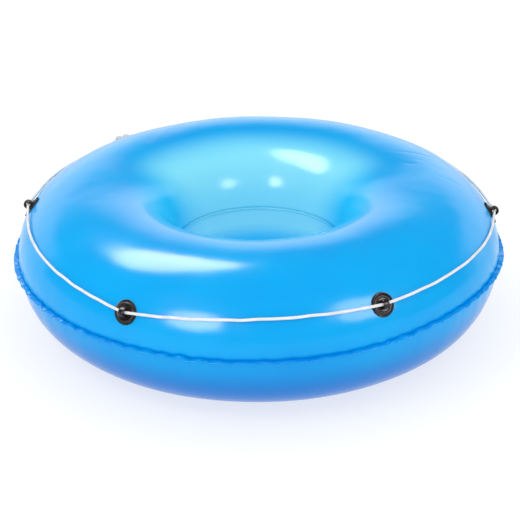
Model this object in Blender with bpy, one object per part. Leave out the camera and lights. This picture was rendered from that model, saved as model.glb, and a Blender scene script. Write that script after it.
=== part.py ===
"""A round inflatable towable tube with an all-round grab rope.

Two annular vinyl sheets are welded to each other along an outer and an inner seam. Six moulded
eyelets are welded round the outer side, and one rope runs through all of them and is closed by a
knot at the back. A screw valve sits under the rope at the back. Metres, +Z up; the origin is on the
floor at the middle of the centre hole, and the front of the tube faces -Y.
"""

from math import cos, pi, radians, sin

import bmesh
import bpy
from mathutils import Matrix, Vector

# Overall shape of the inflated tube.
OUTER_SEAM_RADIUS = 0.525
INNER_SEAM_RADIUS = 0.184
CREST_RADIUS = 0.359
TUBE_HEIGHT = 0.311
OUTER_SEAM_HEIGHT = 0.162
INNER_SEAM_HEIGHT = 0.164
FLOOR_BAND = (0.311, 0.347)
# Fullness of the four quarters of the tube's section: 2 is an ellipse, more is squarer.
TOP_OUTER_FULLNESS = 2.07
TOP_INNER_FULLNESS = 2.33
BOTTOM_OUTER_FULLNESS = 2.12
BOTTOM_INNER_FULLNESS = 2.10
QUARTER_STEPS = 7
RING_SEGMENTS = 60

# Search for the skin under a moulding: the deepest it can lie, and how often the gap is halved.
DEEPEST_DROP = 0.02
DROP_HALVINGS = 24

# Vinyl sheet and its welded flanges.
SHEET_THICKNESS = 0.0008
OUTER_FLANGE_WIDTH = 0.010
INNER_FLANGE_WIDTH = 0.004
GAP = 0.0003

# Eyelets: angle round +Z from +X in degrees, and height of the disc's middle. They are placed by
# hand, so neither is quite regular.
EYELETS = (
    (-1.0, 0.234),
    (-62.0, 0.239),
    (-120.2, 0.226),
    (-181.0, 0.250),
    (-239.5, 0.243),
    (-301.5, 0.243),
)
DISC_RADIUS = 0.025
DISC_THICKNESS = 0.0026
DISC_RIM_BEVEL = 0.001
DISC_RING_RADIUS = 0.0165
DISC_RING_HEIGHT = 0.0012
DISC_RING_HALF_WIDTH = 0.0015
DISC_RECESS_DEPTH = 0.0004
EYE_HEIGHT = 0.0095
EYE_OUTER_RADIUS = 0.0098
EYE_HOLE_RADIUS = 0.0048
EYE_LENGTH = 0.012
EYE_STEPS = 12

# Grab rope.
ROPE_DIAMETER = 0.006
ROPE_LIE_HEIGHT = 0.0044
ROPE_LANDING_LENGTH = 0.085
ROPE_SPAN_RISE = 0.0075
ROPE_SPAN_STEPS = (0.0, 0.025, 0.055, 0.10, 0.165, 0.25, 0.345, 0.45)
ROPE_LEAST_STEP = 0.015

# Knot that joins the rope's ends: which span it is in and how far along, and its size. It is wider
# up the skin than out from it. Its profile gives places along half its length and fullness there.
KNOT_SPAN = 3
KNOT_PLACE = 0.84
KNOT_REACH = 0.01
KNOT_LENGTH = 0.046
KNOT_HALF_WIDTH = 0.0118
KNOT_HALF_DEPTH = 0.0090
KNOT_HEIGHT = 0.0098
KNOT_PROFILE = ((-0.98, 0.55), (-0.75, 0.92), (-0.35, 1.0), (0.0, 0.86))
KNOT_SEGMENTS = 16

# Screw valve. Heights are measured outwards from the skin along the valve's axis.
VALVE_ANGLE = 89.0
VALVE_HEIGHT = 0.200
VALVE_FLANGE_RADIUS = 0.026
VALVE_FLANGE_FOLD_RADIUS = 0.0215
VALVE_FLANGE_THICKNESS = 0.0012
VALVE_HOLE_CLEARANCE = 0.0006
VALVE_HOLE_REACH = 0.03
VALVE_CUP_RADIUS = 0.015
VALVE_CUP_DEPTH = 0.0035
VALVE_CUP_STIFFNESS = 0.004
VALVE_BORE_RADIUS = 0.0115
VALVE_DEPTH = 0.014
VALVE_WALL = 0.0018
SMALL_BEVEL = 0.0004

# The insert that screws into the base, its one-way seat and the disc that closes it.
INSERT_WALL = 0.0016
INSERT_RIM_CLEARANCE = 0.0006
INSERT_RIM_LIFT = 0.0016
INSERT_RIM_THICKNESS = 0.0014
SOCKET_RADIUS = 0.0065
SEAT_TOP = -0.006
SEAT_BOTTOM = -0.008
AIR_HOLE_RADIUS = 0.0013
AIR_HOLE_CIRCLE = 0.0042
AIR_HOLE_COUNT = 6
AIR_HOLE_SEGMENTS = 10
STEM_RADIUS = 0.0013
BUTTON_RADIUS = 0.0025
BUTTON_LIFT = 0.0023
BUTTON_THICKNESS = 0.0009
DIAPHRAGM_THICKNESS = 0.0008
NECK_RADIUS = 0.009
NECK_TOP = 0.004

# Seals and cap.
SEAL_RADII = (0.0118, 0.0138)
SEAL_THICKNESS = 0.001
LINER_THICKNESS = 0.0008
CAP_BORE_CLEARANCE = 0.0004
CAP_SKIRT_BOTTOM = -0.0002
CAP_SKIRT_RADIUS = 0.0125
CAP_HEAD_RADIUS = 0.0165
CAP_HEAD_HEIGHT = 0.0022
CAP_TOP = 0.0072
CAP_BEVEL = 0.0008
TURNED_SEGMENTS = 28

COLOURS = {
    "vinyl_blue": ((0.004, 0.38, 0.90, 1.0), 0.22),
    "moulded_black": ((0.012, 0.012, 0.013, 1.0), 0.45),
    "rope_white": ((0.84, 0.84, 0.82, 1.0), 0.85),
    "valve_grey": ((0.16, 0.17, 0.18, 1.0), 0.40),
    "seal_rubber": ((0.020, 0.020, 0.020, 1.0), 0.70),
    "silicone": ((0.62, 0.64, 0.62, 1.0), 0.50),
}


def clear_scene():
    for obj in list(bpy.data.objects):
        bpy.data.objects.remove(obj, do_unlink=True)


def make_material(name):
    colour, roughness = COLOURS[name]
    material = bpy.data.materials.new(name)
    material.use_nodes = True
    shader = material.node_tree.nodes["Principled BSDF"]
    shader.inputs["Base Color"].default_value = colour
    shader.inputs["Roughness"].default_value = roughness
    shader.inputs["Metallic"].default_value = 0.0
    material.diffuse_color = colour
    return material


def add_object(name, shape, material_name, matrix=None):
    """Turns a bmesh into a smooth-shaded object with its own material."""
    bmesh.ops.recalc_face_normals(shape, faces=shape.faces[:])
    mesh = bpy.data.meshes.new(name)
    shape.to_mesh(mesh)
    shape.free()
    mesh.shade_smooth()
    mesh.set_sharp_from_angle(angle=radians(35))
    mesh.materials.append(make_material(material_name))
    obj = bpy.data.objects.new(name, mesh)
    bpy.context.collection.objects.link(obj)
    if matrix is not None:
        obj.matrix_world = matrix
    return obj


def add_cutter(name, shape, matrix):
    """A shape that is only used by Boolean modifiers."""
    cutter = add_object(name, shape, "seal_rubber", matrix)
    cutter.hide_render = True
    cutter.display_type = "WIRE"
    return cutter


def add_boolean(obj, other, operation):
    modifier = obj.modifiers.new(operation.lower(), "BOOLEAN")
    modifier.operation = operation
    modifier.solver = "EXACT"
    modifier.object = other


# ---- the tube's section ----

def quarter_arc(centre, across, up, fullness):
    """Points of a superellipse quarter, from the seam (side) to the crest or the floor band."""
    points = []
    for step in range(QUARTER_STEPS + 1):
        turn = 0.5 * pi * step / QUARTER_STEPS
        side = cos(turn) ** (2.0 / fullness) if step < QUARTER_STEPS else 0.0
        rise = sin(turn) ** (2.0 / fullness)
        points.append((centre[0] + across * side, centre[1] + up * rise))
    return points


def top_section():
    """The top sheet's outer face from the outer seam over the crest to the inner seam."""
    outer = quarter_arc(
        (CREST_RADIUS, OUTER_SEAM_HEIGHT),
        OUTER_SEAM_RADIUS - CREST_RADIUS,
        TUBE_HEIGHT - OUTER_SEAM_HEIGHT,
        TOP_OUTER_FULLNESS,
    )
    inner = quarter_arc(
        (CREST_RADIUS, INNER_SEAM_HEIGHT),
        INNER_SEAM_RADIUS - CREST_RADIUS,
        TUBE_HEIGHT - INNER_SEAM_HEIGHT,
        TOP_INNER_FULLNESS,
    )
    return outer + inner[-2::-1]


def bottom_section():
    """The bottom sheet's outer face from the outer seam under the floor band to the inner seam."""
    inner_edge, outer_edge = FLOOR_BAND
    outer = quarter_arc(
        (outer_edge, OUTER_SEAM_HEIGHT),
        OUTER_SEAM_RADIUS - outer_edge,
        -OUTER_SEAM_HEIGHT,
        BOTTOM_OUTER_FULLNESS,
    )
    inner = quarter_arc(
        (inner_edge, INNER_SEAM_HEIGHT),
        INNER_SEAM_RADIUS - inner_edge,
        -INNER_SEAM_HEIGHT,
        BOTTOM_INNER_FULLNESS,
    )
    return outer + inner[::-1]


def inset_section(points, side):
    """The same section moved inwards by the sheet's thickness; side is 1 for top, -1 for bottom."""
    moved = []
    last = len(points) - 1
    for index, (r, z) in enumerate(points):
        before = points[max(index - 1, 0)]
        after = points[min(index + 1, last)]
        run = Vector((after[0] - before[0], after[1] - before[1])).normalized()
        inward = Vector((-run.y, run.x)) * side
        moved.append((r + inward.x * SHEET_THICKNESS, z + inward.y * SHEET_THICKNESS))
    return moved


def sheet_outline(points, side):
    """Closed section of one sheet: its face, inner flange, inside and outer flange."""
    near = side * GAP / 2
    far = side * (GAP / 2 + SHEET_THICKNESS)
    outer_edge = OUTER_SEAM_RADIUS + OUTER_FLANGE_WIDTH
    inner_edge = INNER_SEAM_RADIUS - INNER_FLANGE_WIDTH
    inside = inset_section(points, side)
    face = points[1:-1]
    back = inside[1:-1]
    outline = [(outer_edge, OUTER_SEAM_HEIGHT + near), (outer_edge, OUTER_SEAM_HEIGHT + far)]
    outline.append((OUTER_SEAM_RADIUS, OUTER_SEAM_HEIGHT + far))
    outline += face
    outline.append((INNER_SEAM_RADIUS, INNER_SEAM_HEIGHT + far))
    outline.append((inner_edge, INNER_SEAM_HEIGHT + far))
    outline.append((inner_edge, INNER_SEAM_HEIGHT + near))
    outline.append((INNER_SEAM_RADIUS + SHEET_THICKNESS, INNER_SEAM_HEIGHT + near))
    outline += back[::-1]
    outline.append((OUTER_SEAM_RADIUS - SHEET_THICKNESS, OUTER_SEAM_HEIGHT + near))
    return outline


def turned_ring(outline, segments):
    """Turns a closed outline that stays clear of the axis round +Z."""
    shape = bmesh.new()
    rings = []
    for index in range(segments):
        turn = 2 * pi * index / segments
        rings.append([shape.verts.new((r * cos(turn), r * sin(turn), z)) for r, z in outline])
    count = len(outline)
    for index, ring in enumerate(rings):
        following = rings[(index + 1) % segments]
        for k in range(count):
            after = (k + 1) % count
            shape.faces.new((ring[k], following[k], following[after], ring[after]))
    return shape


def turned_solid(outline, segments):
    """Turns an outline whose first and last points are on the axis."""
    shape = bmesh.new()
    first = shape.verts.new((0.0, 0.0, outline[0][1]))
    last = shape.verts.new((0.0, 0.0, outline[-1][1]))
    rings = []
    for index in range(segments):
        turn = 2 * pi * index / segments
        rings.append(
            [shape.verts.new((r * cos(turn), r * sin(turn), z)) for r, z in outline[1:-1]]
        )
    for index, ring in enumerate(rings):
        following = rings[(index + 1) % segments]
        shape.faces.new((first, following[0], ring[0]))
        shape.faces.new((last, ring[-1], following[-1]))
        for k in range(len(ring) - 1):
            shape.faces.new((ring[k], following[k], following[k + 1], ring[k + 1]))
    return shape


# ---- places on the skin ----

def skin_point(height):
    """Radius and outward slope of the top sheet's outer side at a height above the floor."""
    across = OUTER_SEAM_RADIUS - CREST_RADIUS
    up = TUBE_HEIGHT - OUTER_SEAM_HEIGHT
    rise = (height - OUTER_SEAM_HEIGHT) / up
    side = (1.0 - rise ** TOP_OUTER_FULLNESS) ** (1.0 / TOP_OUTER_FULLNESS)
    power = TOP_OUTER_FULLNESS - 1.0
    slope = Vector((side ** power / across, rise ** power / up)).normalized()
    return CREST_RADIUS + across * side, slope


def skin_frame(angle, height):
    """Matrix of a place on the skin: X along the tube, Y up the skin, Z straight out of it."""
    radius, slope = skin_point(height)
    out = Vector((cos(angle), sin(angle), 0.0))
    normal = out * slope.x + Vector((0.0, 0.0, slope.y))
    along = Vector((-sin(angle), cos(angle), 0.0))
    frame = Matrix((along, normal.cross(along), normal)).transposed().to_4x4()
    frame.translation = out * radius + Vector((0.0, 0.0, height))
    return frame


def outside_skin(point):
    """Whether a point lies outside the top sheet's outer side."""
    across = max(Vector((point.x, point.y)).length - CREST_RADIUS, 0.0)
    across /= OUTER_SEAM_RADIUS - CREST_RADIUS
    rise = max(point.z - OUTER_SEAM_HEIGHT, 0.0) / (TUBE_HEIGHT - OUTER_SEAM_HEIGHT)
    return across ** TOP_OUTER_FULLNESS + rise ** TOP_OUTER_FULLNESS > 1.0


def skin_drop(place, x, y):
    """How far the skin lies under the tangent plane of `place` at its local x and y."""
    low, high = 0.0, DEEPEST_DROP
    for _ in range(DROP_HALVINGS):
        middle = (low + high) / 2
        if outside_skin(place @ Vector((x, y, -middle))):
            low = middle
        else:
            high = middle
    return low


def fit_to_skin(shape, place, stiff_radius, soft_radius):
    """Bends a flat moulding onto the skin; it stays rigid inside stiff_radius."""
    for vertex in shape.verts:
        x, y, _ = vertex.co
        reach = (Vector((x, y)).length - stiff_radius) / (soft_radius - stiff_radius)
        vertex.co.z -= min(max(reach, 0.0), 1.0) * skin_drop(place, x, y)


# ---- the two sheets ----

def build_sheets(valve_place):
    top = add_object(
        "top_sheet", turned_ring(sheet_outline(top_section(), 1), RING_SEGMENTS), "vinyl_blue"
    )
    radius = VALVE_CUP_RADIUS + VALVE_WALL + VALVE_HOLE_CLEARANCE
    reach = VALVE_HOLE_REACH
    hole = turned_solid([(0, -reach), (radius, -reach), (radius, reach), (0, reach)], TURNED_SEGMENTS)
    add_boolean(top, add_cutter("valve_hole_cutter", hole, valve_place), "DIFFERENCE")
    add_object(
        "bottom_sheet",
        turned_ring(sheet_outline(bottom_section(), -1), RING_SEGMENTS),
        "vinyl_blue",
    )


# ---- eyelets ----

def disc_outline():
    """Section of an eyelet's welded disc, with its raised ring and rounded rim."""
    top = GAP + DISC_THICKNESS
    ring = top + DISC_RING_HEIGHT
    recess = top - DISC_RECESS_DEPTH
    half = DISC_RING_HALF_WIDTH
    return [
        (0.0, GAP),
        (DISC_RADIUS / 3, GAP),
        (DISC_RADIUS * 2 / 3, GAP),
        (DISC_RADIUS - DISC_RIM_BEVEL, GAP),
        (DISC_RADIUS, GAP + DISC_RIM_BEVEL),
        (DISC_RADIUS - DISC_RIM_BEVEL, top),
        (DISC_RING_RADIUS + 2 * half, top),
        (DISC_RING_RADIUS + half, ring),
        (DISC_RING_RADIUS - half, ring),
        (DISC_RING_RADIUS - 2 * half, recess),
        (0.0, recess),
    ]


def eye_shape():
    """The standing eye: a round-topped lug with a hole along X for the rope."""
    half = EYE_LENGTH / 2
    foot = GAP + DISC_THICKNESS / 3
    outer = [(EYE_OUTER_RADIUS, foot)]
    for step in range(EYE_STEPS + 1):
        turn = pi * step / EYE_STEPS
        outer.append((EYE_OUTER_RADIUS * cos(turn), EYE_HEIGHT + EYE_OUTER_RADIUS * sin(turn)))
    outer.append((-EYE_OUTER_RADIUS, foot))
    outer.append((0.0, foot))
    inner = []
    for y, z in outer:
        away = Vector((y, z - EYE_HEIGHT)).normalized() * EYE_HOLE_RADIUS
        inner.append((away.x, EYE_HEIGHT + away.y))
    shape = bmesh.new()
    loops = []
    for points, x in ((outer, -half), (outer, half), (inner, half), (inner, -half)):
        loops.append([shape.verts.new((x, y, z)) for y, z in points])
    count = len(outer)
    for index, loop in enumerate(loops):
        following = loops[(index + 1) % len(loops)]
        for k in range(count):
            after = (k + 1) % count
            shape.faces.new((loop[k], loop[after], following[after], following[k]))
    return shape


def build_eyelets():
    for number, (degrees, height) in enumerate(EYELETS, start=1):
        place = skin_frame(radians(degrees), height)
        disc = turned_solid(disc_outline(), TURNED_SEGMENTS)
        fit_to_skin(disc, place, 0.0, DISC_RIM_BEVEL)
        eyelet = add_object(f"rope_eyelet_{number}", disc, "moulded_black", place)
        eye = add_cutter(f"eye_{number}_former", eye_shape(), place)
        add_boolean(eyelet, eye, "UNION")


# ---- grab rope ----

def landing(reach):
    """Share of its lift that the rope keeps at a distance from the thing that lifts it."""
    return max(0.0, 1 - reach / ROPE_LANDING_LENGTH) ** 2


def rope_height(span, fraction, span_length):
    """Height of the rope's centre over the skin: the eyelets and the knot hold it up."""
    from_eye = min(fraction, 1 - fraction) * span_length
    lift = (EYE_HEIGHT - ROPE_LIE_HEIGHT) * landing(from_eye)
    if span == KNOT_SPAN:
        from_knot = max(abs(fraction - KNOT_PLACE) * span_length - KNOT_LENGTH / 2, 0.0)
        lift = max(lift, (KNOT_HEIGHT - ROPE_LIE_HEIGHT) * landing(from_knot))
    return ROPE_LIE_HEIGHT + lift


def rope_point(span, fraction):
    """Centre of the rope between eyelet `span` and the next, by fraction of the way."""
    start_degrees, start_height = EYELETS[span]
    end_degrees, end_height = EYELETS[(span + 1) % len(EYELETS)]
    turn = (end_degrees - start_degrees) % -360
    angle = radians(start_degrees + turn * fraction)
    height = start_height + (end_height - start_height) * fraction
    height += ROPE_SPAN_RISE * 4 * fraction * (1 - fraction)
    out = rope_height(span, fraction, abs(radians(turn)) * OUTER_SEAM_RADIUS)
    return skin_frame(angle, height) @ Vector((0.0, 0.0, out))


def rope_points():
    """Once round from one side of the knot to the other."""
    steps = list(ROPE_SPAN_STEPS) + [1 - step for step in ROPE_SPAN_STEPS[:0:-1]]
    spans = len(EYELETS)
    behind, ahead = [rope_point(KNOT_SPAN, KNOT_PLACE + way * KNOT_REACH) for way in (-1, 1)]
    half_knot = (KNOT_LENGTH / 2 + 3 * GAP) * 2 * KNOT_REACH / (ahead - behind).length
    start = KNOT_PLACE + half_knot
    end = spans + KNOT_PLACE - half_knot
    places = [turn + step for turn in range(spans + 1) for step in steps]
    places = [place for place in places if start + ROPE_LEAST_STEP < place < end - ROPE_LEAST_STEP]
    places = [start] + places + [end]
    return [rope_point(int(KNOT_SPAN + place) % spans, place % 1.0) for place in places]


def build_rope():
    points = rope_points()
    curve = bpy.data.curves.new("grab_rope", "CURVE")
    curve.dimensions = "3D"
    curve.bevel_depth = ROPE_DIAMETER / 2
    curve.bevel_resolution = 2
    curve.use_fill_caps = True
    spline = curve.splines.new("POLY")
    spline.points.add(len(points) - 1)
    for target, point in zip(spline.points, points):
        target.co = (*point, 1.0)
    curve.materials.append(make_material("rope_white"))
    rope = bpy.data.objects.new("grab_rope", curve)
    bpy.context.collection.objects.link(rope)


def build_knot():
    """The outer shape of the knot that joins the rope's two ends."""
    half = KNOT_LENGTH / 2
    outline = [(0.0, -half)]
    outline += [(fullness, along * half) for along, fullness in KNOT_PROFILE]
    outline += [(fullness, -z) for fullness, z in outline[-2::-1]]
    shape = turned_solid(outline, KNOT_SEGMENTS)
    shape.transform(Matrix.Rotation(radians(90), 4, "Y"))
    shape.transform(Matrix.Diagonal((1.0, KNOT_HALF_WIDTH, KNOT_HALF_DEPTH, 1.0)))
    behind, ahead = [rope_point(KNOT_SPAN, KNOT_PLACE + way * KNOT_REACH) for way in (-1, 1)]
    middle = rope_point(KNOT_SPAN, KNOT_PLACE)
    along = (behind - ahead).normalized()
    start_degrees, _ = EYELETS[KNOT_SPAN]
    end_degrees, _ = EYELETS[KNOT_SPAN + 1]
    angle = radians(start_degrees + (end_degrees - start_degrees) * KNOT_PLACE)
    out = skin_frame(angle, middle.z).to_3x3() @ Vector((0.0, 0.0, 1.0))
    normal = (out - along * out.dot(along)).normalized()
    frame = Matrix((along, normal.cross(along), normal)).transposed().to_4x4()
    frame.translation = middle
    add_object("grab_rope_knot", shape, "rope_white", frame)


# ---- valve ----

def base_outline():
    cup_wall = VALVE_CUP_RADIUS + VALVE_WALL
    bore_wall = VALVE_BORE_RADIUS + VALVE_WALL
    shelf = -VALVE_CUP_DEPTH - VALVE_WALL
    top = GAP + VALVE_FLANGE_THICKNESS
    return [
        (VALVE_BORE_RADIUS, -VALVE_DEPTH),
        (bore_wall, -VALVE_DEPTH),
        (bore_wall, shelf),
        (cup_wall, shelf),
        (cup_wall, GAP),
        (VALVE_FLANGE_FOLD_RADIUS, GAP),
        (VALVE_FLANGE_RADIUS, GAP),
        (VALVE_FLANGE_RADIUS, top - 2 * SMALL_BEVEL),
        (VALVE_FLANGE_RADIUS - 2 * SMALL_BEVEL, top),
        (VALVE_FLANGE_FOLD_RADIUS, top),
        (cup_wall + SMALL_BEVEL, top),
        (VALVE_CUP_RADIUS + SMALL_BEVEL, top),
        (VALVE_CUP_RADIUS, top - SMALL_BEVEL),
        (VALVE_CUP_RADIUS, -VALVE_CUP_DEPTH),
        (VALVE_BORE_RADIUS, -VALVE_CUP_DEPTH),
    ]


def build_valve_base(place):
    base = turned_ring(base_outline(), TURNED_SEGMENTS)
    fit_to_skin(base, place, VALVE_CUP_RADIUS, VALVE_CUP_RADIUS + VALVE_CUP_STIFFNESS)
    add_object("valve_base", base, "moulded_black", place)


def insert_outline():
    barrel = VALVE_BORE_RADIUS - GAP
    shell = barrel - INSERT_WALL
    stem_hole = STEM_RADIUS + GAP
    bottom = -VALVE_DEPTH + INSERT_WALL
    rim = VALVE_CUP_RADIUS - INSERT_RIM_CLEARANCE
    rim_bottom = -VALVE_CUP_DEPTH + INSERT_RIM_LIFT
    rim_top = rim_bottom + INSERT_RIM_THICKNESS
    return [
        (stem_hole, SEAT_BOTTOM),
        (shell, SEAT_BOTTOM),
        (shell, bottom),
        (barrel, bottom),
        (barrel, rim_bottom),
        (rim, rim_bottom),
        (rim, rim_top),
        (NECK_RADIUS, rim_top),
        (NECK_RADIUS, NECK_TOP - SMALL_BEVEL),
        (NECK_RADIUS - SMALL_BEVEL, NECK_TOP),
        (SOCKET_RADIUS, NECK_TOP),
        (SOCKET_RADIUS, SEAT_TOP),
        (stem_hole, SEAT_TOP),
    ]


def build_valve_insert(place):
    insert = add_object(
        "valve_insert", turned_ring(insert_outline(), TURNED_SEGMENTS), "valve_grey", place
    )
    holes = bmesh.new()
    seat_middle = (SEAT_TOP + SEAT_BOTTOM) / 2
    for number in range(AIR_HOLE_COUNT):
        turn = 2 * pi * number / AIR_HOLE_COUNT
        centre = (AIR_HOLE_CIRCLE * cos(turn), AIR_HOLE_CIRCLE * sin(turn), seat_middle)
        bmesh.ops.create_cone(
            holes,
            cap_ends=True,
            segments=AIR_HOLE_SEGMENTS,
            radius1=AIR_HOLE_RADIUS,
            radius2=AIR_HOLE_RADIUS,
            depth=2 * (SEAT_TOP - SEAT_BOTTOM),
            matrix=Matrix.Translation(centre),
        )
    add_boolean(insert, add_cutter("air_hole_cutter", holes, place), "DIFFERENCE")


def build_valve_diaphragm(place):
    """Rubber disc under the seat; its button hangs it on the seat and lets it lift inwards."""
    disc = VALVE_BORE_RADIUS - INSERT_WALL - 3 * GAP
    top = SEAT_BOTTOM - GAP
    button = SEAT_TOP + BUTTON_LIFT
    button_top = button + BUTTON_THICKNESS
    outline = [
        (0.0, top - DIAPHRAGM_THICKNESS),
        (disc, top - DIAPHRAGM_THICKNESS),
        (disc, top),
        (STEM_RADIUS, top),
        (STEM_RADIUS, button),
        (BUTTON_RADIUS, button),
        (BUTTON_RADIUS - SMALL_BEVEL, button_top),
        (0.0, button_top),
    ]
    add_object("valve_diaphragm", turned_solid(outline, TURNED_SEGMENTS), "silicone", place)


def build_valve_seal(place):
    """Flat seal between the insert's rim and the base's shelf."""
    inner, outer = SEAL_RADII
    low = -VALVE_CUP_DEPTH + GAP
    high = low + SEAL_THICKNESS
    outline = [(inner, low), (outer, low), (outer, high), (inner, high)]
    add_object("valve_seal", turned_ring(outline, TURNED_SEGMENTS), "seal_rubber", place)


def build_cap_liner(place):
    """Soft disc under the cap's roof that seals on the insert's neck."""
    low = NECK_TOP + GAP
    high = low + LINER_THICKNESS
    outline = [(0.0, low), (NECK_RADIUS, low), (NECK_RADIUS, high), (0.0, high)]
    add_object("cap_liner", turned_solid(outline, TURNED_SEGMENTS), "seal_rubber", place)


def build_valve_cap(place):
    bore = NECK_RADIUS + CAP_BORE_CLEARANCE
    roof = NECK_TOP + LINER_THICKNESS + 2 * GAP
    outline = [
        (0.0, roof),
        (bore, roof),
        (bore, CAP_SKIRT_BOTTOM),
        (CAP_SKIRT_RADIUS, CAP_SKIRT_BOTTOM),
        (CAP_SKIRT_RADIUS, CAP_HEAD_HEIGHT),
        (CAP_HEAD_RADIUS, CAP_HEAD_HEIGHT),
        (CAP_HEAD_RADIUS, CAP_TOP - CAP_BEVEL),
        (CAP_HEAD_RADIUS - CAP_BEVEL, CAP_TOP),
        (0.0, CAP_TOP),
    ]
    add_object("valve_cap", turned_solid(outline, TURNED_SEGMENTS), "moulded_black", place)


def main():
    clear_scene()
    valve_place = skin_frame(radians(VALVE_ANGLE), VALVE_HEIGHT)
    build_sheets(valve_place)
    build_eyelets()
    build_rope()
    build_knot()
    build_valve_base(valve_place)
    build_valve_insert(valve_place)
    build_valve_diaphragm(valve_place)
    build_valve_seal(valve_place)
    build_cap_liner(valve_place)
    build_valve_cap(valve_place)


main()
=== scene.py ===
"""Looks of the towable tube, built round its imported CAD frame.

The tube is a glossy blue vinyl ring made of two welded sheets, with black moulded eyelets, a white
braided grab rope and a screw valve at the back. Everything is in metres, +Z up, in the frame's axes.
"""

from math import cos, pi, radians, sin

import bmesh
import bpy
import numpy as np
from mathutils import Matrix, Vector


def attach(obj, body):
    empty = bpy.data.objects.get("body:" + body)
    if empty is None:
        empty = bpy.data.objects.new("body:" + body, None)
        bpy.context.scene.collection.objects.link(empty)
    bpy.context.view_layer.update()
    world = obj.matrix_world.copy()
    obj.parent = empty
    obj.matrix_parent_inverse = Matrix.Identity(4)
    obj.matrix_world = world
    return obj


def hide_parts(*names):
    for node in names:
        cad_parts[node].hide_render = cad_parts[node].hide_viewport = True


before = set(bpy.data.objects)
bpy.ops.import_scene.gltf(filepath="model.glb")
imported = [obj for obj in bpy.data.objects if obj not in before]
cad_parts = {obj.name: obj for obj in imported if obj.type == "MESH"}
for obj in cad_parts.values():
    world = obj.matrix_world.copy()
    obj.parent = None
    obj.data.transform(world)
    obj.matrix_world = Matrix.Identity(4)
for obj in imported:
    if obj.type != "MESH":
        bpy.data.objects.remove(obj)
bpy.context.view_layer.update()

# The tube's section and the eyelets, as in the CAD.
OUTER_SEAM_RADIUS = 0.525
INNER_SEAM_RADIUS = 0.184
CREST_RADIUS = 0.359
TUBE_HEIGHT = 0.311
OUTER_SEAM_HEIGHT = 0.162
INNER_SEAM_HEIGHT = 0.164
FLOOR_BAND = (0.311, 0.347)
TOP_OUTER_FULLNESS = 2.07
TOP_INNER_FULLNESS = 2.33
BOTTOM_OUTER_FULLNESS = 2.12
BOTTOM_INNER_FULLNESS = 2.10
SHEET_THICKNESS = 0.0008
OUTER_FLANGE_WIDTH = 0.010
INNER_FLANGE_WIDTH = 0.004
EYELETS = (
    (-1.0, 0.234),
    (-62.0, 0.239),
    (-120.2, 0.226),
    (-181.0, 0.250),
    (-239.5, 0.243),
    (-301.5, 0.243),
)
EYE_HEIGHT = 0.0095

# Where the outer weld line runs higher: angle of the middle, how far it reaches and how much.
SEAM_RISE_ANGLE = -38.0
SEAM_RISE_SPREAD = 27.0
SEAM_RISE = 0.014

# Skins: how finely they are divided, the depth and reach of the puckers and folds that run in from
# the outer weld and of the slack between the welds, and how the sheets meet at a weld.
SKIN_COLUMNS = 720
SKIN_ROWS = 66
SECTION_POINTS = 200
PUCKER_DEPTH = 0.0011
PUCKER_REACH = 0.020
FOLD_DEPTH = 0.0012
FOLD_REACH = 0.055
FOLD_START = 0.02
SLACK_DEPTH = 0.0006
SLACK_MARGIN = 0.05
SWAY_REACH = 0.012
DRIFT_REACH = 0.060
WELD_PARTING = 0.0004
WELD_PARTING_REACH = 0.001
WELD_LIP = 0.0003

# Round each fitting the film is calm within the first distance and free past the second.
CALM_REACH = (0.030, 0.060)

# Fine creases: angle, distance from the outer weld and number at each slack place, how far they
# scatter, and their size.
CREASE_PLACES = ((128.0, 0.215, 14), (12.0, 0.215, 12))
CREASE_SCATTER_ANGLE = 14.0
CREASE_SCATTER_RUN = 0.055
CREASE_LEANS = (20.0, 60.0)
CREASE_HALF_LENGTHS = (0.012, 0.034)
CREASE_HALF_WIDTH = 0.0036
CREASE_DEPTH = 0.0006

# Welded flanges: the outer one's crinkles and flaps, and how far each reaches under the skins.
OUTER_SEAM_COLUMNS = 2200
CRINKLE_HEIGHT = 0.0026
FLAP_HEIGHT = 0.0016
OUTER_FLANGE_OVERLAP = 0.0015
OUTER_FLANGE_THICKNESS = (0.0009, 0.0007)
INNER_SEAM_COLUMNS = 720
INNER_SWING = 0.0006
INNER_FLANGE_OVERLAP = 0.001
INNER_FLANGE_THICKNESS = (0.0008, 0.0006)

# Grab rope: it follows the CAD's route and knot, a little closer to the film between the eyelets,
# with a braid and a slight wander.
ROPE_DIAMETER = 0.006
ROPE_LIE_HEIGHT = 0.0036
ROPE_LANDING_LENGTH = 0.085
ROPE_SPAN_RISE = 0.0075
KNOT_SPAN = 3
KNOT_PLACE = 0.84
KNOT_LENGTH = 0.046
KNOT_HEIGHT = 0.0098
KNOT_TURNS = 2.0
KNOT_STEPS = 16
ROPE_SAMPLES = 1800
ROPE_RING_SPACING = 0.001
ROPE_SIDES = 20
ROPE_WANDER = 0.0004
ROPE_CALM_REACH = (0.02, 0.08)
BRAID_PITCH = 0.024
BRAID_STRANDS = 6
BRAID_RELIEF = 0.14
KNOT_RING_SPACING = 0.0009

# Eyelets: teeth round the disc's rim, and the standing eye.
EYELET_TEETH = 44
TOOTH_DEPTH = 0.0016
TOOTH_DEPTH_INSIDE = 0.0006
TOOTH_NOTCH = 0.0009
EYE_HALF_LENGTH = 0.006
EYE_HOLE_RADIUS = 0.0047
EYE_RIM_RADIUS = 0.0098
EYE_FOOT = 0.0009

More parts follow.
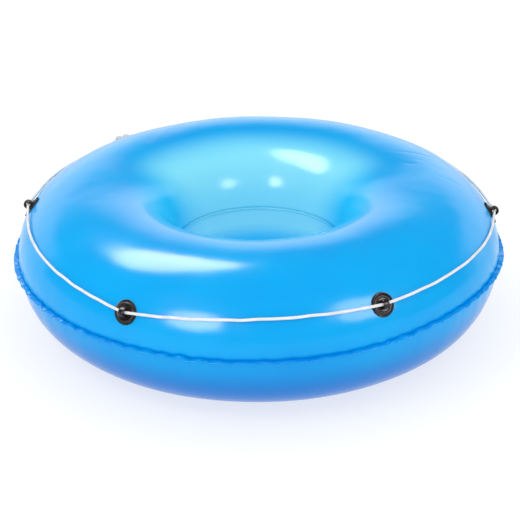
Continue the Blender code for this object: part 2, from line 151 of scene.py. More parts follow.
# Valve, as in the CAD.
VALVE_ANGLE = 89.0
VALVE_HEIGHT = 0.200
VALVE_HOLE_RADIUS = 0.0172
VALVE_HOLE_REACH = 0.03
VALVE_CUP_RADIUS = 0.015
VALVE_CUP_STIFFNESS = 0.004
AIR_HOLE_COUNT = 6
AIR_HOLE_RADIUS = 0.0013
AIR_HOLE_CIRCLE = 0.0042
AIR_HOLE_HEIGHT = -0.007
CAP_SCALLOPS = 20
CAP_SCALLOP_DEPTH = 0.0009
INSERT_NOTCHES = 12
INSERT_NOTCH_DEPTH = 0.0006

# Camera: angle above the horizon, distance to the tube's middle, lens, roll and a small shift.
CAMERA_ELEVATION = radians(25.43)
CAMERA_DISTANCE = 3.274
CAMERA_LENS = 102.7
CAMERA_SENSOR = 36.0
CAMERA_ROLL = radians(0.53)
CAMERA_SHIFT = (0.0026, -0.0336)

# Painted light and shade on the film: painted shade near the floor, painted light in the centre hole,
# most of it on the hole's back wall, where daylight would come through. Each pair says where a tint
# ends and where it is full, or the other way round: by height, by distance from the tube's axis, and
# by distance behind it.
PAINTED_SHADE_TINT = (0.0, 0.185, 0.62, 1.0)
PAINTED_HOLE_LIGHT_TINT = (0.0, 0.54, 0.95, 1.0)
PAINTED_BACKLIGHT_TINT = (0.26, 0.80, 0.95, 1.0)
PAINTED_SHADE_HEIGHTS = (0.070, 0.175)
HOLE_RADII = (0.205, 0.290)
WALL_RADII = (0.215, 0.325)
WALL_DEPTHS = (0.035, 0.150)
WALL_HEIGHTS = (0.070, 0.130)

# Stage: the floor just under the tube, how bright the room, the white backdrop and the even fill
# light are, how far up and round the backdrop reaches, and soft lights by place, aim, size and
# brightness. The softboxes only show as gloss; the key light only lights matt faces.
FLOOR_LEVEL = -0.0005
FLOOR_HALF_SIZE = 40.0
FLOOR_COLOUR = (0.38, 0.38, 0.37, 1.0)
FLOOR_GLOW = 0.68
ROOM_LIGHT = 0.12
BACKDROP_LIGHT = 1.6
FILL_LIGHT = 1.02
BACKDROP_TOP = (0.44, 0.34)
BACKDROP_SIDE = (0.25, 0.65)
SOFTBOXES = (
    ("overhead", (-0.45, 0.17, 1.15), (-0.32, -0.10, 0.3), (0.80, 0.50), 22.0),
    ("left_low", (-0.85, -1.75, 1.00), (0.0, -0.4, 0.25), (0.75, 0.90), 22.0),
    ("right_side", (0.75, -0.90, 0.70), (0.2, -0.4, 0.26), (0.50, 0.55), 14.0),
)
SOFTBOX_COLOUR = (1.0, 0.87, 0.90)
KEY_LIGHT = ("key", (-1.3, -1.6, 2.4), (0.0, 0.0, 0.2), (1.1, 1.1), 2.6)


# ---- small numeric helpers ----

def smooth(low, high, value):
    """0 below low, 1 above high, and a smooth S in between."""
    t = np.clip((value - low) / (high - low), 0.0, 1.0)
    return t * t * (3.0 - 2.0 * t)


def unit(vectors):
    """The vectors at length 1."""
    return vectors / np.linalg.norm(vectors, axis=-1, keepdims=True)


def ring_wave(angle, seed, slowest, fastest, count=14):
    """Irregular wave round the tube, about -1 to 1, of waves with whole numbers of turns."""
    random = np.random.RandomState(seed)
    turns = random.randint(slowest, fastest + 1, count)
    phases = random.uniform(0.0, 2 * pi, count)
    total = np.zeros_like(angle)
    for turn, phase in zip(turns, phases):
        total += np.sin(turn * angle + phase)
    return total / (1.3 * count ** 0.5)


# ---- meshes ----

def mesh_from_grid(name, grid):
    """A closed skin on a grid of points that joins up in both directions."""
    columns, rows, _ = grid.shape
    index = np.arange(columns * rows).reshape(columns, rows)
    right = np.roll(index, -1, axis=0)
    faces = np.stack(
        [index, right, np.roll(right, -1, axis=1), np.roll(index, -1, axis=1)], axis=-1
    ).reshape(-1, 4)
    mesh = bpy.data.meshes.new(name)
    mesh.vertices.add(columns * rows)
    mesh.vertices.foreach_set("co", grid.astype(np.float32).ravel())
    mesh.loops.add(faces.size)
    mesh.loops.foreach_set("vertex_index", faces.astype(np.int32).ravel())
    mesh.polygons.add(len(faces))
    mesh.polygons.foreach_set("loop_start", np.arange(0, faces.size, 4, dtype=np.int32))
    mesh.update(calc_edges=True)
    mesh.shade_smooth()
    return mesh


def turned_mesh(name, profile, segments, change=None):
    """A profile from axis to axis, turned round Z; change(r, z, turn) may move each ring's points."""
    turns = np.arange(segments) * 2 * pi / segments
    shape = bmesh.new()
    first = shape.verts.new((0.0, 0.0, profile[0][1]))
    last = shape.verts.new((0.0, 0.0, profile[-1][1]))
    rings = []
    for radius, height in profile[1:-1]:
        ring = []
        for turn in turns:
            r, z = change(radius, height, turn) if change else (radius, height)
            ring.append(shape.verts.new((r * cos(turn), r * sin(turn), z)))
        rings.append(ring)
    for k in range(segments):
        after = (k + 1) % segments
        shape.faces.new((first, rings[0][after], rings[0][k]))
        shape.faces.new((last, rings[-1][k], rings[-1][after]))
        for ring, following in zip(rings, rings[1:]):
            shape.faces.new((ring[k], ring[after], following[after], following[k]))
    return mesh_from_bmesh(name, shape)


def turned_ring_mesh(name, profile, segments, change=None):
    """A closed profile that stays clear of the axis, turned round Z."""
    turns = np.arange(segments) * 2 * pi / segments
    grid = np.zeros((segments, len(profile), 3))
    for row, (radius, height) in enumerate(profile):
        for column, turn in enumerate(turns):
            r, z = change(radius, height, turn) if change else (radius, height)
            grid[column, row] = (r * cos(turn), r * sin(turn), z)
    return mesh_from_grid(name, grid)


def mesh_from_bmesh(name, shape):
    """A smooth-shaded mesh of the shape, which is used up."""
    bmesh.ops.recalc_face_normals(shape, faces=shape.faces[:])
    mesh = bpy.data.meshes.new(name)
    shape.to_mesh(mesh)
    shape.free()
    mesh.shade_smooth()
    return mesh


def add_piece(name, mesh, material, body="root", node=None, sharp=None):
    """Puts a mesh in the scene as a piece that rides on a body and may stand for a CAD node."""
    outward(mesh)
    if sharp is not None:
        mesh.set_sharp_from_angle(angle=radians(sharp))
    piece = bpy.data.objects.new(name, mesh)
    bpy.context.collection.objects.link(piece)
    mesh.materials.clear()
    mesh.materials.append(material)
    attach(piece, body)
    if node:
        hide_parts(node)
    return piece


def outward(mesh):
    """Turns a closed mesh's faces outward."""
    shape = bmesh.new()
    shape.from_mesh(mesh)
    if shape.calc_volume(signed=True) < 0:
        bmesh.ops.reverse_faces(shape, faces=shape.faces[:])
        shape.to_mesh(mesh)
    shape.free()
    mesh.update()


def rounded(profile, radius, steps=3, closed=True):
    """The profile with its corners rounded off."""
    points = [Vector(p) for p in profile]
    count = len(points)
    result = []
    for k, corner in enumerate(points):
        if not closed and k in (0, count - 1):
            result.append(tuple(corner))
            continue
        back = points[k - 1] - corner
        ahead = points[(k + 1) % count] - corner
        cut = min(radius, 0.45 * back.length, 0.45 * ahead.length)
        start = corner + back.normalized() * cut
        end = corner + ahead.normalized() * cut
        for step in range(steps + 1):
            t = step / steps
            result.append(tuple((1 - t) ** 2 * start + 2 * t * (1 - t) * corner + t * t * end))
    return result


# ---- the tube's section ----

def quarter(centre, across, up, fullness):
    """Fine points of a superellipse quarter from the seam to the crest or the floor band."""
    turn = np.linspace(0.0, 0.5 * pi, SECTION_POINTS + 1)
    side = np.clip(np.cos(turn), 0.0, 1.0) ** (2.0 / fullness)
    rise = np.sin(turn) ** (2.0 / fullness)
    side[-1] = 0.0
    return np.stack([centre[0] + across * side, centre[1] + up * rise], axis=-1)


def section(top, steps):
    """Section of one sheet's face from the outer seam to the inner seam, evenly spaced."""
    if top:
        outer_foot, inner_foot = CREST_RADIUS, CREST_RADIUS
        outer_up = TUBE_HEIGHT - OUTER_SEAM_HEIGHT
        inner_up = TUBE_HEIGHT - INNER_SEAM_HEIGHT
        fullness = (TOP_OUTER_FULLNESS, TOP_INNER_FULLNESS)
    else:
        inner_foot, outer_foot = FLOOR_BAND
        outer_up, inner_up = -OUTER_SEAM_HEIGHT, -INNER_SEAM_HEIGHT
        fullness = (BOTTOM_OUTER_FULLNESS, BOTTOM_INNER_FULLNESS)
    outer = quarter(
        (outer_foot, OUTER_SEAM_HEIGHT), OUTER_SEAM_RADIUS - outer_foot, outer_up, fullness[0]
    )
    inner = quarter(
        (inner_foot, INNER_SEAM_HEIGHT), INNER_SEAM_RADIUS - inner_foot, inner_up, fullness[1]
    )
    line = np.concatenate([outer, inner[-2::-1]] if top else [outer, inner[::-1]])
    travelled = np.concatenate([[0.0], np.cumsum(np.linalg.norm(np.diff(line, axis=0), axis=1))])
    even = np.linspace(0.0, travelled[-1], steps + 1)
    return np.stack([np.interp(even, travelled, line[:, k]) for k in (0, 1)], axis=-1), even


# ---- places on the skin ----

def skin_point(height):
    """Radius and outward slope of the outer side at a height."""
    across = OUTER_SEAM_RADIUS - CREST_RADIUS
    up = TUBE_HEIGHT - OUTER_SEAM_HEIGHT
    rise = (height - OUTER_SEAM_HEIGHT) / up
    side = (1.0 - rise ** TOP_OUTER_FULLNESS) ** (1.0 / TOP_OUTER_FULLNESS)
    power = TOP_OUTER_FULLNESS - 1.0
    slope = Vector((side ** power / across, rise ** power / up)).normalized()
    return CREST_RADIUS + across * side, slope


def skin_frame(angle, height):
    """Matrix of a place on the skin: X along the tube, Y up the skin, Z straight out of it."""
    radius, slope = skin_point(height)
    out = Vector((cos(angle), sin(angle), 0.0))
    normal = out * slope.x + Vector((0.0, 0.0, slope.y))
    along = Vector((-sin(angle), cos(angle), 0.0))
    place = Matrix((along, normal.cross(along), normal)).transposed().to_4x4()
    place.translation = out * radius + Vector((0.0, 0.0, height))
    return place


def skin_drop(place, x, y):
    """How far the skin lies under the tangent plane of a place, for arrays of local x and y."""
    base = np.array(place)
    low = np.zeros_like(x)
    high = np.full_like(x, 0.02)
    for _ in range(22):
        middle = (low + high) / 2
        local = np.stack([x, y, -middle, np.ones_like(x)])
        world = base @ local
        across = np.maximum(np.hypot(world[0], world[1]) - CREST_RADIUS, 0.0)
        across /= OUTER_SEAM_RADIUS - CREST_RADIUS
        rise = np.maximum(world[2] - OUTER_SEAM_HEIGHT, 0.0) / (TUBE_HEIGHT - OUTER_SEAM_HEIGHT)
        outside = across ** TOP_OUTER_FULLNESS + rise ** TOP_OUTER_FULLNESS > 1.0
        low = np.where(outside, middle, low)
        high = np.where(outside, high, middle)
    return low


# ---- materials ----

class Nodes:
    """Short names for building one material's node tree."""

    def __init__(self, name):
        self.material = bpy.data.materials.new(name)
        self.material.use_nodes = True
        self.tree = self.material.node_tree
        self.shader = self.tree.nodes["Principled BSDF"]
        self.place = self.add("ShaderNodeTexCoord").outputs["Object"]

    def add(self, kind, **settings):
        node = self.tree.nodes.new(kind)
        for key, value in settings.items():
            setattr(node, key, value)
        return node

    def link(self, source, target):
        self.tree.links.new(source, target)

    def set(self, **values):
        for key, value in values.items():
            self.shader.inputs[key.replace("_", " ")].default_value = value

    def noise(self, scale, detail=3.0, roughness=0.5, stretch=None):
        node = self.add("ShaderNodeTexNoise")
        node.inputs["Scale"].default_value = scale
        node.inputs["Detail"].default_value = detail
        node.inputs["Roughness"].default_value = roughness
        source = self.place
        if stretch:
            mapping = self.add("ShaderNodeMapping")
            mapping.inputs["Scale"].default_value = stretch
            self.link(self.place, mapping.inputs["Vector"])
            source = mapping.outputs["Vector"]
        self.link(source, node.inputs["Vector"])
        return node.outputs["Fac"]

    def range(self, value, low, high, from_low=0.3, from_high=0.7):
        node = self.add("ShaderNodeMapRange")
        self.link(value, node.inputs["Value"])
        node.inputs["From Min"].default_value = from_low
        node.inputs["From Max"].default_value = from_high
        node.inputs["To Min"].default_value = low
        node.inputs["To Max"].default_value = high
        return node.outputs["Result"]

    def ease(self, value, low, high, from_low, from_high):
        """Like range, with a smooth start and end."""
        result = self.range(value, low, high, from_low, from_high)
        result.node.interpolation_type = "SMOOTHSTEP"
        return result

    def math(self, operation, first, second):
        node = self.add("ShaderNodeMath", operation=operation)
        self.link(first, node.inputs[0])
        self.link(second, node.inputs[1])
        return node.outputs["Value"]

    def mix(self, factor, first, second):
        node = self.add("ShaderNodeMix", data_type="RGBA")
        self.link(factor, node.inputs["Factor"])
        for socket, colour in zip((node.inputs[6], node.inputs[7]), (first, second)):
            if isinstance(colour, tuple):
                socket.default_value = colour
            else:
                self.link(colour, socket)
        return node.outputs[2]

    def bump(self, height, strength, distance):
        node = self.add("ShaderNodeBump")
        node.inputs["Strength"].default_value = strength
        node.inputs["Distance"].default_value = distance
        self.link(height, node.inputs["Height"])
        self.link(node.outputs["Normal"], self.shader.inputs["Normal"])


def vinyl_material(name, thin, thick, gloss, painted_backlight=None):
    """Glossy, slightly cloudy blue film, with painted shade low down and painted light where daylight
    comes through it.
    """
    nodes = Nodes(name)
    cloud = nodes.range(nodes.noise(7.0, 2.0), 0.0, 1.0)
    split = nodes.add("ShaderNodeSeparateXYZ")
    nodes.link(nodes.place, split.inputs["Vector"])
    # Painted shade: the film's colour darkens towards the floor.
    low = nodes.ease(split.outputs["Z"], 1.0, 0.0, *PAINTED_SHADE_HEIGHTS)
    colour = nodes.mix(low, nodes.mix(cloud, thin, thick), PAINTED_SHADE_TINT)
    if painted_backlight:
        inside, through = shine_through(nodes)
        # Painted light: a lighter colour inside the centre hole.
        colour = nodes.mix(inside, colour, PAINTED_HOLE_LIGHT_TINT)
        # Painted light: lightest on the hole's back wall, where daylight would come through the film.
        colour = nodes.mix(through, colour, painted_backlight)
    nodes.link(colour, nodes.shader.inputs["Base Color"])
    haze = nodes.range(nodes.noise(18.0, 3.0), gloss, gloss + 0.05)
    nodes.link(haze, nodes.shader.inputs["Roughness"])
    nodes.bump(nodes.noise(23.0, 0.0), 0.25, 0.0012)
    nodes.set(Specular_IOR_Level=0.22)
    return nodes.material


def shine_through(nodes):
    """Masks for painted light where the film is lit through: inside the centre hole, and most on the
    hole's back wall.

    There only two films lie before the daylight. Both results go from 0 to 1.
    """
    flat = nodes.add("ShaderNodeVectorMath", operation="MULTIPLY")
    nodes.link(nodes.place, flat.inputs[0])
    flat.inputs[1].default_value = (1.0, 1.0, 0.0)
    radius = nodes.add("ShaderNodeVectorMath", operation="LENGTH")
    nodes.link(flat.outputs["Vector"], radius.inputs[0])
    split = nodes.add("ShaderNodeSeparateXYZ")
    nodes.link(nodes.place, split.inputs["Vector"])
    inside = nodes.ease(radius.outputs["Value"], 1.0, 0.0, *HOLE_RADII)
    wall = nodes.ease(radius.outputs["Value"], 1.0, 0.0, *WALL_RADII)
    behind = nodes.ease(split.outputs["Y"], 0.0, 1.0, *WALL_DEPTHS)
    above = nodes.ease(split.outputs["Z"], 0.0, 1.0, *WALL_HEIGHTS)
    return inside, nodes.math("MULTIPLY", nodes.math("MULTIPLY", wall, behind), above)


def moulded_material(name, colour, worn, low=0.32, high=0.5):
    """Soft moulded plastic, a little scuffed."""
    nodes = Nodes(name)
    nodes.set(Specular_IOR_Level=0.4)
    scuff = nodes.range(nodes.noise(160.0, 5.0, 0.65), 0.0, 1.0, 0.48, 0.8)
    nodes.link(nodes.mix(scuff, colour, worn), nodes.shader.inputs["Base Color"])
    nodes.link(
        nodes.range(nodes.noise(90.0, 4.0), low, high), nodes.shader.inputs["Roughness"]
    )
    nodes.bump(nodes.noise(1400.0, 2.0), 0.15, 0.0002)
    return nodes.material


def rope_material():
    """White polypropylene yarn with a fine lay of fibres."""
    nodes = Nodes("rope_yarn")
    soil = nodes.range(nodes.noise(40.0, 4.0), 0.0, 1.0, 0.35, 0.75)
    nodes.link(
        nodes.mix(soil, (0.86, 0.88, 0.87, 1.0), (0.72, 0.74, 0.73, 1.0)),
        nodes.shader.inputs["Base Color"],
    )
    nodes.link(
        nodes.range(nodes.noise(220.0), 0.55, 0.75), nodes.shader.inputs["Roughness"]
    )
    nodes.set(Specular_IOR_Level=0.2, Sheen_Weight=0.15, Sheen_Roughness=0.4)
    nodes.bump(nodes.noise(2600.0, 3.0), 0.35, 0.0003)
    return nodes.material


# ---- camera ----

def build_camera():
    data = bpy.data.cameras.new("camera")
    data.lens = CAMERA_LENS
    data.sensor_width = CAMERA_SENSOR
    data.shift_x, data.shift_y = CAMERA_SHIFT
    camera = bpy.data.objects.new("camera", data)
    bpy.context.collection.objects.link(camera)
    back = Vector((0.0, -cos(CAMERA_ELEVATION), sin(CAMERA_ELEVATION)))
    target = Vector((0.0, 0.0, OUTER_SEAM_HEIGHT))
    camera.location = target + back * CAMERA_DISTANCE
    aim = (-back).to_track_quat("-Z", "Y").to_matrix().to_4x4()
    camera.rotation_euler = (Matrix.Rotation(CAMERA_ROLL, 4, -back) @ aim).to_euler()
    bpy.context.scene.camera = camera


# ---- grab rope ----

def landing(reach):
    """Share of its lift that the rope keeps at a distance from the thing that lifts it."""
    softened = (reach ** 2 + ROPE_DIAMETER ** 2) ** 0.5 - ROPE_DIAMETER
    return max(0.0, 1 - softened / ROPE_LANDING_LENGTH) ** 2


def rope_place(span, fraction):
    """Centre of the rope and the skin's normal between an eyelet and the next."""
    start_degrees, start_height = EYELETS[span]
    end_degrees, end_height = EYELETS[(span + 1) % len(EYELETS)]
    turn = (end_degrees - start_degrees) % -360
    angle = radians(start_degrees + turn * fraction)
    height = start_height + (end_height - start_height) * fraction
    height += ROPE_SPAN_RISE * 4 * fraction * (1 - fraction)
    span_length = abs(radians(turn)) * OUTER_SEAM_RADIUS
    lift = (EYE_HEIGHT - ROPE_LIE_HEIGHT) * landing(min(fraction, 1 - fraction) * span_length)
    if span == KNOT_SPAN:
        from_knot = max(abs(fraction - KNOT_PLACE) * span_length - KNOT_LENGTH / 2, 0.0)
        lift = max(lift, (KNOT_HEIGHT - ROPE_LIE_HEIGHT) * landing(from_knot))
    out = ROPE_LIE_HEIGHT + lift
    place = skin_frame(angle, height)
    return place @ Vector((0.0, 0.0, out)), place.to_3x3() @ Vector((0.0, 0.0, 1.0))


def rope_line():
    """Points along the rope's centre, a millimetre apart, with the skin's normal at each."""
    spans = len(EYELETS)
    reach = 0.01
    before, _ = rope_place(KNOT_SPAN, KNOT_PLACE - reach)
    after, _ = rope_place(KNOT_SPAN, KNOT_PLACE + reach)
    half_knot = KNOT_LENGTH / 2 / ((after - before).length / (2 * reach))
    start, end = KNOT_PLACE + half_knot, spans + KNOT_PLACE - half_knot
    points, normals = [], []
    for place in np.linspace(start, end, ROPE_SAMPLES):
        point, normal = rope_place(int(KNOT_SPAN + place) % spans, place % 1.0)
        points.append(point)
        normals.append(normal)
    points, normals = np.array(points), np.array(normals)
    wander = ROPE_WANDER * ring_wave(np.linspace(0.0, 2 * pi, len(points)), 5, 20, 60)
    sideways = unit(np.cross(np.gradient(points, axis=0), normals))
    calm = np.array([near_eye(p) for p in points])
    points = points + sideways * (wander * calm)[:, None]
    return even_line(points, normals, ROPE_RING_SPACING)


def near_eye(point):
    """0 at an eyelet and 1 away from all of them."""
    nearest = min((Vector(point) - skin_frame(radians(d), h).translation).length for d, h in EYELETS)
    return float(smooth(*ROPE_CALM_REACH, np.array(nearest)))


def even_line(points, normals, spacing):
    """The same line with its points evenly spaced, with its normals and the way travelled."""
    travelled = np.concatenate(
        [[0.0], np.cumsum(np.linalg.norm(np.diff(points, axis=0), axis=1))]
    )
    even = np.linspace(0.0, travelled[-1], int(travelled[-1] / spacing) + 1)
    points = np.stack([np.interp(even, travelled, points[:, k]) for k in range(3)], axis=-1)
    normals = unit(np.stack([np.interp(even, travelled, normals[:, k]) for k in range(3)], axis=-1))
    return points, normals, even


def braid_height(along, turn):
    """Surface of a twelve-strand braid, 0 in its valleys and 1 on its strands."""
    climb = 2 * pi * BRAID_STRANDS * along / BRAID_PITCH
    first = BRAID_STRANDS * turn + climb
    second = BRAID_STRANDS * turn - climb
    over = np.sin((first + second) / 2) * np.sin((first - second) / 2) > 0
    return np.where(over, np.cos(first / 2) ** 2, np.cos(second / 2) ** 2) ** 0.5


def rope_mesh(name, points, normals, travelled):
    """Braided rope along a centreline, with closed ends."""
    along = unit(np.gradient(points, axis=0))
    side = unit(np.cross(along, normals))
    up = np.cross(side, along)
    turns = np.arange(ROPE_SIDES) * 2 * pi / ROPE_SIDES
    grown = braid_height(travelled[:, None], turns[None, :])
    radius = ROPE_DIAMETER / 2 * (1.0 - BRAID_RELIEF + BRAID_RELIEF * grown)
    ring = (
        np.cos(turns)[None, :, None] * side[:, None, :]
        + np.sin(turns)[None, :, None] * up[:, None, :]
    )
    verts = points[:, None, :] + ring * radius[..., None]
    shape = bmesh.new()
    loops = [[shape.verts.new(v) for v in loop] for loop in verts]
    for loop, following in zip(loops, loops[1:]):
        for k in range(ROPE_SIDES):
            after = (k + 1) % ROPE_SIDES
            shape.faces.new((loop[k], loop[after], following[after], following[k]))
    shape.faces.new(loops[0][::-1])
    shape.faces.new(loops[-1])
    return mesh_from_bmesh(name, shape)


def build_rope(material):
    points, normals, travelled = rope_line()
    mesh = rope_mesh("rope_of_braid", points, normals, travelled)
    rope = add_piece("rope_of_braid", mesh, material, node="grab_rope")
    knot = build_knot(material, points, normals)


def build_knot(material, points, normals):
    """A fisherman's knot: each end winds twice round the other one and leaves a short tail."""
    start, end = points[0], points[-1]
    middle = (start + end) / 2
    along = unit(start - end)
    normal = unit(normals[0] + normals[-1])
    normal = unit(normal - along * (normal @ along))
    side = np.cross(normal, along)
    r = ROPE_DIAMETER / 2
    half = np.linalg.norm(start - end) / 2
    strands = []
    for sign in (1, -1):
        route = [(half + 0.004, -0.2 * r, 0.0), (half - 0.004, -0.5 * r, 0.3 * r)]
        route += [(0.35 * half, -0.9 * r, 1.6 * r), (-0.15 * half, -1.0 * r, 2.2 * r)]
        for step in range(KNOT_STEPS + 1):
            turn = 2 * pi * KNOT_TURNS * step / KNOT_STEPS
            x = -0.72 * half + 4 * r * (step / KNOT_STEPS)
            route.append((x, 2.7 * r * sin(turn) * -1, 2.3 * r + 2.0 * r * -cos(turn)))
        route += [(-0.40 * half, 1.1 * r, 2.4 * r), (-0.75 * half, 1.1 * r, 2.5 * r)]
        route += [(-1.05 * half, 1.5 * r, 2.2 * r), (-1.45 * half, 2.4 * r, 0.9 * r)]
        strands.append([(sign * x, sign * y, z) for x, y, z in route])
    meshes = []
    for route in strands:
        world = np.array([middle + along * x + side * y + normal * z for x, y, z in route])
        smooth_line = spline_line(world, 24)
        line_normals = np.tile(normal, (len(smooth_line), 1))
        line, _, travelled = even_line(smooth_line, line_normals, KNOT_RING_SPACING)
        meshes.append(swept_mesh(line, travelled, normal))
    knot_mesh = join_meshes("rope_knot", meshes)
    knot = add_piece("rope_knot", knot_mesh, material, node="grab_rope_knot")
    return knot


def spline_line(points, steps):
    """Smooth line through the points (Catmull-Rom)."""
    padded = np.concatenate([[2 * points[0] - points[1]], points, [2 * points[-1] - points[-2]]])
    line = []
    for a, b, c, d in zip(padded, padded[1:], padded[2:], padded[3:]):
        for t in np.linspace(0.0, 1.0, steps, endpoint=False):
            line.append(
                0.5 * (2 * b + (c - a) * t + (2 * a - 5 * b + 4 * c - d) * t ** 2
                       + (3 * b - a - 3 * c + d) * t ** 3)
            )
    line.append(points[-1])
    return np.array(line)


def swept_mesh(line, travelled, first_normal):
    """Rope mesh along a line that turns every way, with a carried-along frame."""
    along = unit(np.gradient(line, axis=0))
    normals = np.zeros_like(line)
    normal = np.array(first_normal)
    for k, direction in enumerate(along):
        normal = unit(normal - direction * (normal @ direction))
        normals[k] = normal
    return rope_mesh("strand", line, normals, travelled)


def join_meshes(name, meshes):
    """Several meshes in one."""
    shape = bmesh.new()
    for mesh in meshes:
        shape.from_mesh(mesh)
    return mesh_from_bmesh(name, shape)


# ---- the two skins and the welded seams ----

def distance_mask(points, centre, near, far):
    """0 within near of a centre and 1 beyond far."""
    return smooth(near, far, np.linalg.norm(points - np.array(centre), axis=-1))


def calm_places():
    """Welded fittings, round which the film stays true to its CAD shape."""
    places = [skin_frame(radians(d), h).translation for d, h in EYELETS]
    places.append(skin_frame(radians(VALVE_ANGLE), VALVE_HEIGHT).translation)
    return places


def seam_sway(angle):
    """Fine ups and downs of the outer weld line."""
    return 0.0015 * ring_wave(angle, 21, 40, 110) + 0.0006 * ring_wave(angle, 22, 7, 20)


def seam_drift(angle):
    """Slow rise of the outer weld line where the top sheet is pulled down a little further."""
    turn = (angle - radians(SEAM_RISE_ANGLE) + pi) % (2 * pi) - pi
    return SEAM_RISE * np.exp(-(turn / radians(SEAM_RISE_SPREAD)) ** 2)


def crease_depth(angle, from_seam):
    """Short shallow creases in two slack places of the top sheet."""
    random = np.random.RandomState(61)
    depth = np.zeros(np.broadcast_shapes(angle.shape, from_seam.shape))
    for middle_degrees, middle_run, count in CREASE_PLACES:
        for _ in range(count):
            centre = radians(
                middle_degrees + random.uniform(-CREASE_SCATTER_ANGLE, CREASE_SCATTER_ANGLE)
            )
            run = middle_run + random.uniform(-CREASE_SCATTER_RUN, CREASE_SCATTER_RUN)
            lean = radians(random.uniform(*CREASE_LEANS))
            half = random.uniform(*CREASE_HALF_LENGTHS)
            x = (angle - centre) * CREST_RADIUS
            y = from_seam - run
            along = x * cos(lean) + y * sin(lean)
            across = y * cos(lean) - x * sin(lean)
            narrow = across / CREASE_HALF_WIDTH
            depth += CREASE_DEPTH * np.exp(-(along / half) ** 2 - narrow ** 2)
    return depth


def skin_sink(angle, travelled, top):
    """How far one sheet's face lies under its smooth section, by angle and way from the weld."""
    to_hole = travelled[:, -1:] - travelled
    pucker = ring_wave(angle, 31 if top else 32, 60, 130)
    fold = ring_wave(angle, 33 if top else 34, 24, 60)
    slack = ring_wave(angle, 35, 3, 11, 8)
    between = smooth(0.0, SLACK_MARGIN, travelled) * smooth(0.0, SLACK_MARGIN, to_hole)
    sink = PUCKER_DEPTH * (0.6 + 0.5 * pucker) * np.exp(-travelled / PUCKER_REACH)
    folded = np.exp(-travelled / FOLD_REACH) * smooth(0.0, FOLD_START, travelled)
    sink += FOLD_DEPTH * (0.5 + 0.5 * fold) * folded
    sink += SLACK_DEPTH * (0.6 + slack) * between
    if top:
        sink += crease_depth(angle, travelled)
    return sink


def skin_mesh(name, top):
    """One sheet's face with puckers at the outer weld, and the sheet's thickness behind it."""
    side = 1 if top else -1
    line, travelled = section(top, SKIN_ROWS)
    tangent = unit(np.gradient(line, axis=0))
    normal = np.stack([tangent[:, 1], -tangent[:, 0]], axis=-1) * side
    normal[0], normal[-1] = (1.0, 0.0), (-1.0, 0.0)
    angle = np.arange(SKIN_COLUMNS) * 2 * pi / SKIN_COLUMNS
    a = angle[:, None]
    from_seam = travelled[None, :]
    to_hole = (travelled[-1] - travelled)[None, :]
    sink = skin_sink(a, from_seam, top)
    out = np.stack([np.cos(angle), np.sin(angle), np.zeros_like(angle)], axis=-1)[:, None, :]
    up = np.array([0.0, 0.0, 1.0])
    points = out * line[None, :, :1] + up * line[None, :, 1:]
    if top:
        for centre in calm_places():
            sink = sink * distance_mask(points, centre, *CALM_REACH)
    normals = out * normal[None, :, :1] + up * normal[None, :, 1:]
    points = points - normals * sink[..., None]
    points[..., 2] += seam_sway(a) * np.exp(-from_seam / SWAY_REACH)
    points[..., 2] += seam_drift(a) * np.exp(-(from_seam / DRIFT_REACH) ** 2)
    points[..., 2] += side * WELD_PARTING * np.exp(-from_seam / WELD_PARTING_REACH)
    points[..., 2] += side * WELD_PARTING * np.exp(-to_hole / WELD_PARTING_REACH)
    points[..., 2] = np.maximum(points[..., 2], 0.0)
    inside = points - normals * SHEET_THICKNESS
    inside[:, 0, 2] = points[:, 0, 2] - side * WELD_LIP
    inside[:, -1, 2] = points[:, -1, 2] - side * WELD_LIP
    grid = np.concatenate([points, inside[:, ::-1]], axis=1)
    return mesh_from_grid(name, grid)


def outer_seam_mesh():
    """The welded flange at the outer seam: a crinkled double thickness of film."""
    angle = np.arange(OUTER_SEAM_COLUMNS) * 2 * pi / OUTER_SEAM_COLUMNS
    share = np.linspace(0.0, 1.0, 7)
    crinkle = ring_wave(angle, 41, 130, 250, 18)
    gather = 0.5 + 0.5 * ring_wave(angle, 42, 15, 45)
    flap = ring_wave(angle, 43, 60, 120, 12)
    swing = CRINKLE_HEIGHT * np.clip(gather, 0.15, 1.2) * crinkle + FLAP_HEIGHT * flap
    width = OUTER_FLANGE_WIDTH * (1.0 - 0.10 * np.abs(crinkle) - 0.05 * np.abs(flap))
    start = OUTER_SEAM_RADIUS - OUTER_FLANGE_OVERLAP
    radius = start + (width[:, None] + OUTER_FLANGE_OVERLAP) * share
    weld = OUTER_SEAM_HEIGHT + seam_sway(angle) + seam_drift(angle)
    height = weld[:, None] + swing[:, None] * share ** 1.4
    thick = np.interp(share, (0.0, 1.0), OUTER_FLANGE_THICKNESS)
    upper = np.stack([radius, height + thick], axis=-1)
    lower = np.stack([radius, height - thick], axis=-1)
    edge = np.stack([radius[:, -1:] + 0.0003, height[:, -1:]], axis=-1)
    line = np.concatenate([upper, edge, lower[:, ::-1]], axis=1)
    out = np.stack([np.cos(angle), np.sin(angle)], axis=-1)[:, None, :]
    grid = np.concatenate([out * line[..., :1], line[..., 1:]], axis=-1)
    return mesh_from_grid("outer_seam", grid)


